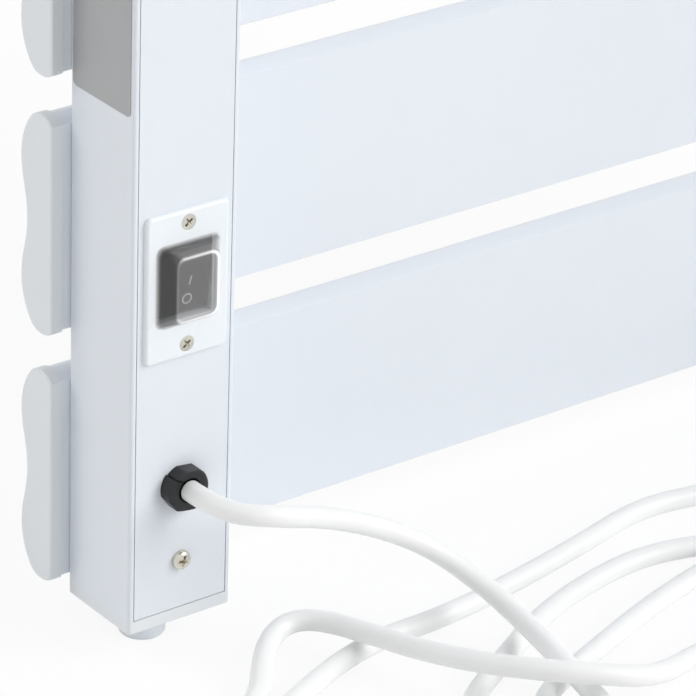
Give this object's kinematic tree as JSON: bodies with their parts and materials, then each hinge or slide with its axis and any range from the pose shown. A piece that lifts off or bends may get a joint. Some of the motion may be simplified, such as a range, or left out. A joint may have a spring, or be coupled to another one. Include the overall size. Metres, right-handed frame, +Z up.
{
  "type": "heated towel rail",
  "caption": "Wall-hung electric towel rail with waved flat slats on two box posts, covered rocker switch, cord with plug and adjustable wall brackets.",
  "frame": {"origin": "middle of the four wall fixings, in the wall plane", "axes": "+X to the right of someone facing the rail, +Y into the wall, +Z up"},
  "size_m": [0.5554, 0.2484, 1.087],
  "materials": {
    "white_coat": "satin",
    "white_cap": "satin",
    "white_plate": "gloss",
    "grey_foot": "matte",
    "heater_foil": "satin",
    "nickel": "satin",
    "clear_boot": "gloss",
    "black_plastic": "satin",
    "tab_brass": "satin",
    "silver_label": "satin",
    "cord_white": "satin",
    "mount_white": "matte"
  },
  "bodies": {
    "wall_studs": {"wall_mounts": "mount_white"},
    "rail": {"slat_01": "white_coat", "slat_02": "white_coat", "slat_03": "white_coat", "slat_04": "white_coat", "slat_05": "white_coat", "slat_06": "white_coat", "slat_07": "white_coat", "slat_08": "white_coat", "slat_09": "white_coat", "slat_10": "white_coat", "slat_caps_left": "white_cap", "slat_caps_right": "white_cap", "heating_pads": "heater_foil", "supply_post": "white_coat", "plain_post": "white_coat", "supply_cover": "white_coat", "plain_cover": "white_coat", "lower_post_caps": "white_cap", "upper_post_caps": "white_cap", "feet": "grey_foot", "cover_screws": "nickel", "slat_screws": "nickel", "switch_plate": "white_plate", "plate_screws": "nickel", "switch_boot": "clear_boot", "switch_body": "white_plate", "switch_tabs": "tab_brass", "terminal_block": "white_plate", "control_module": "black_plastic", "rating_label": "silver_label", "cable_gland": "black_plastic", "mains_cord": "cord_white", "plug_sleeve": "cord_white", "mains_plug": "cord_white", "plug_pins": "nickel", "bracket_arms": "white_coat", "grub_screws": "nickel", "bracket_bolts": "nickel", "nut_plates": "nickel"},
    "rocker": {"switch_rocker": "black_plastic"}
  },
  "joints": [
    {"name": "wall_distance", "type": "slide", "parent": "wall_studs", "child": "rail", "axis": [0, -1, 0], "range_m": [0, 0.01]},
    {"name": "rocker_tilt", "type": "hinge", "parent": "rail", "child": "rocker", "pos_m": [0.2225, -0.0478, -0.4145], "axis": [1, 0, 0], "range_deg": [0, 16]}
  ]
}
